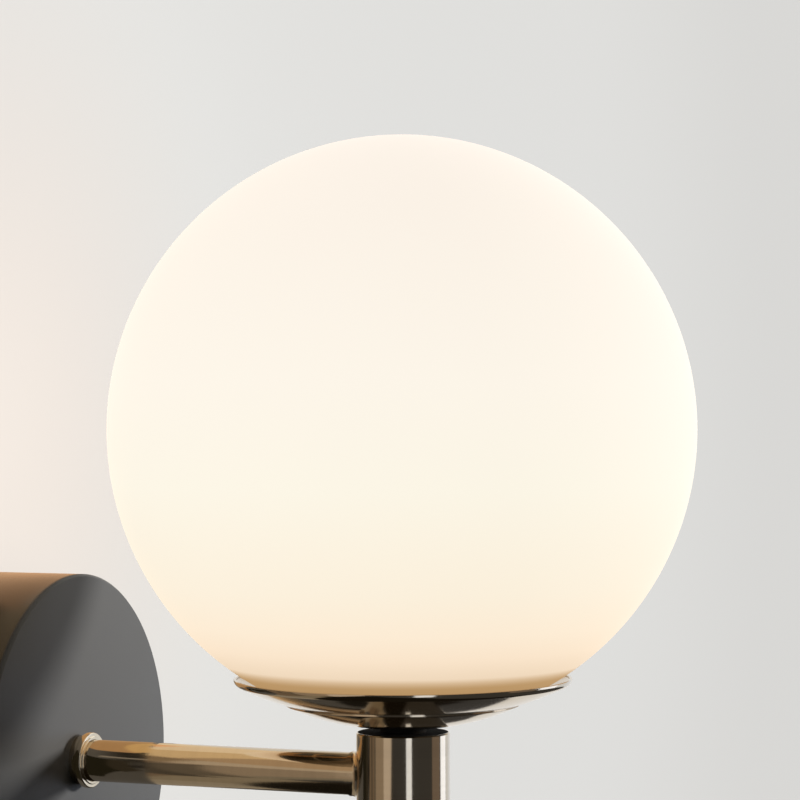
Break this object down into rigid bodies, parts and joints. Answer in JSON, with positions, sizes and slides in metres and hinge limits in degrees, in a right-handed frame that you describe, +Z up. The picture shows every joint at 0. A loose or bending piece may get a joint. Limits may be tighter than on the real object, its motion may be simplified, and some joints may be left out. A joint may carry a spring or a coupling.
{
  "type": "globe wall sconce",
  "caption": "Wall sconce: round drum canopy, straight arm and upright column that carries a shallow dish and a lift-off opal glass globe over a screw-in bulb.",
  "frame": {"origin": "centre of the crossbar's back, on the wall, behind the middle of the canopy", "axes": "+Y into the wall, +Z up, so the arm reaches out along -Y"},
  "size_m": [0.2, 0.2624, 0.2839],
  "materials": {
    "canopy_paint": "satin graphite powder coat",
    "bronze_nickel": "brushed warm bronze-nickel plate, clear lacquer",
    "zinc_steel": "bright zinc plate",
    "spring_steel": "polished spring steel",
    "brass": "bright turned brass",
    "earth_green": "green dyed steel",
    "lead_green": "green insulation",
    "lead_black": "black insulation",
    "lead_white": "white insulation",
    "connector_plastic": "moulded shell with grip ribs",
    "silicone": "translucent white silicone",
    "socket_porcelain": "white glazed ceramic",
    "bulb_black_glass": "black glass insulator with a solder button",
    "bulb_nickel": "rolled nickel-plated screw cap",
    "bulb_frosted": "inside-frosted, lit warm white",
    "opal_glass": "satin opal white, lit warm white from within"
  },
  "bodies": {
    "root": {"canopy": "canopy_paint", "canopy_screws": "canopy_paint", "crossbar": "zinc_steel", "arm_washer": "zinc_steel", "arm_nut": "zinc_steel", "column_washer": "zinc_steel", "column_nut": "zinc_steel", "arm_nipple": "zinc_steel", "column_nipple": "zinc_steel", "earth_eyelet": "zinc_steel", "fitter_cup": "zinc_steel", "spring_rivets": "zinc_steel", "globe_springs": "spring_steel", "earth_screw": "earth_green", "earth_lead": "lead_green", "lead_line": "lead_black", "lead_neutral": "lead_white", "wire_connectors": "connector_plastic", "arm_flange": "bronze_nickel", "arm_tube": "bronze_nickel", "arm_plug": "brass", "holder_body": "bronze_nickel", "holder_cap": "bronze_nickel", "neck_spacer": "bronze_nickel", "dish_pan": "bronze_nickel", "dish_saucer": "bronze_nickel", "globe_gasket": "silicone", "socket_body": "socket_porcelain", "socket_shell": "brass", "socket_contact": "brass", "socket_rivets": "brass"},
    "globe_body": {"globe": "opal_glass"},
    "bulb_body": {"bulb_insulator": "bulb_black_glass", "bulb_cap": "bulb_nickel", "bulb_glass": "bulb_frosted"}
  },
  "joints": [
    {"name": "globe_lift", "type": "slide", "parent": "root", "child": "globe_body", "axis": [0, 0, 1], "range_m": [0, 0.16]},
    {"name": "bulb_out", "type": "slide", "parent": "root", "child": "bulb_body", "axis": [0, 0, 1], "range_m": [0, 0.025]}
  ]
}
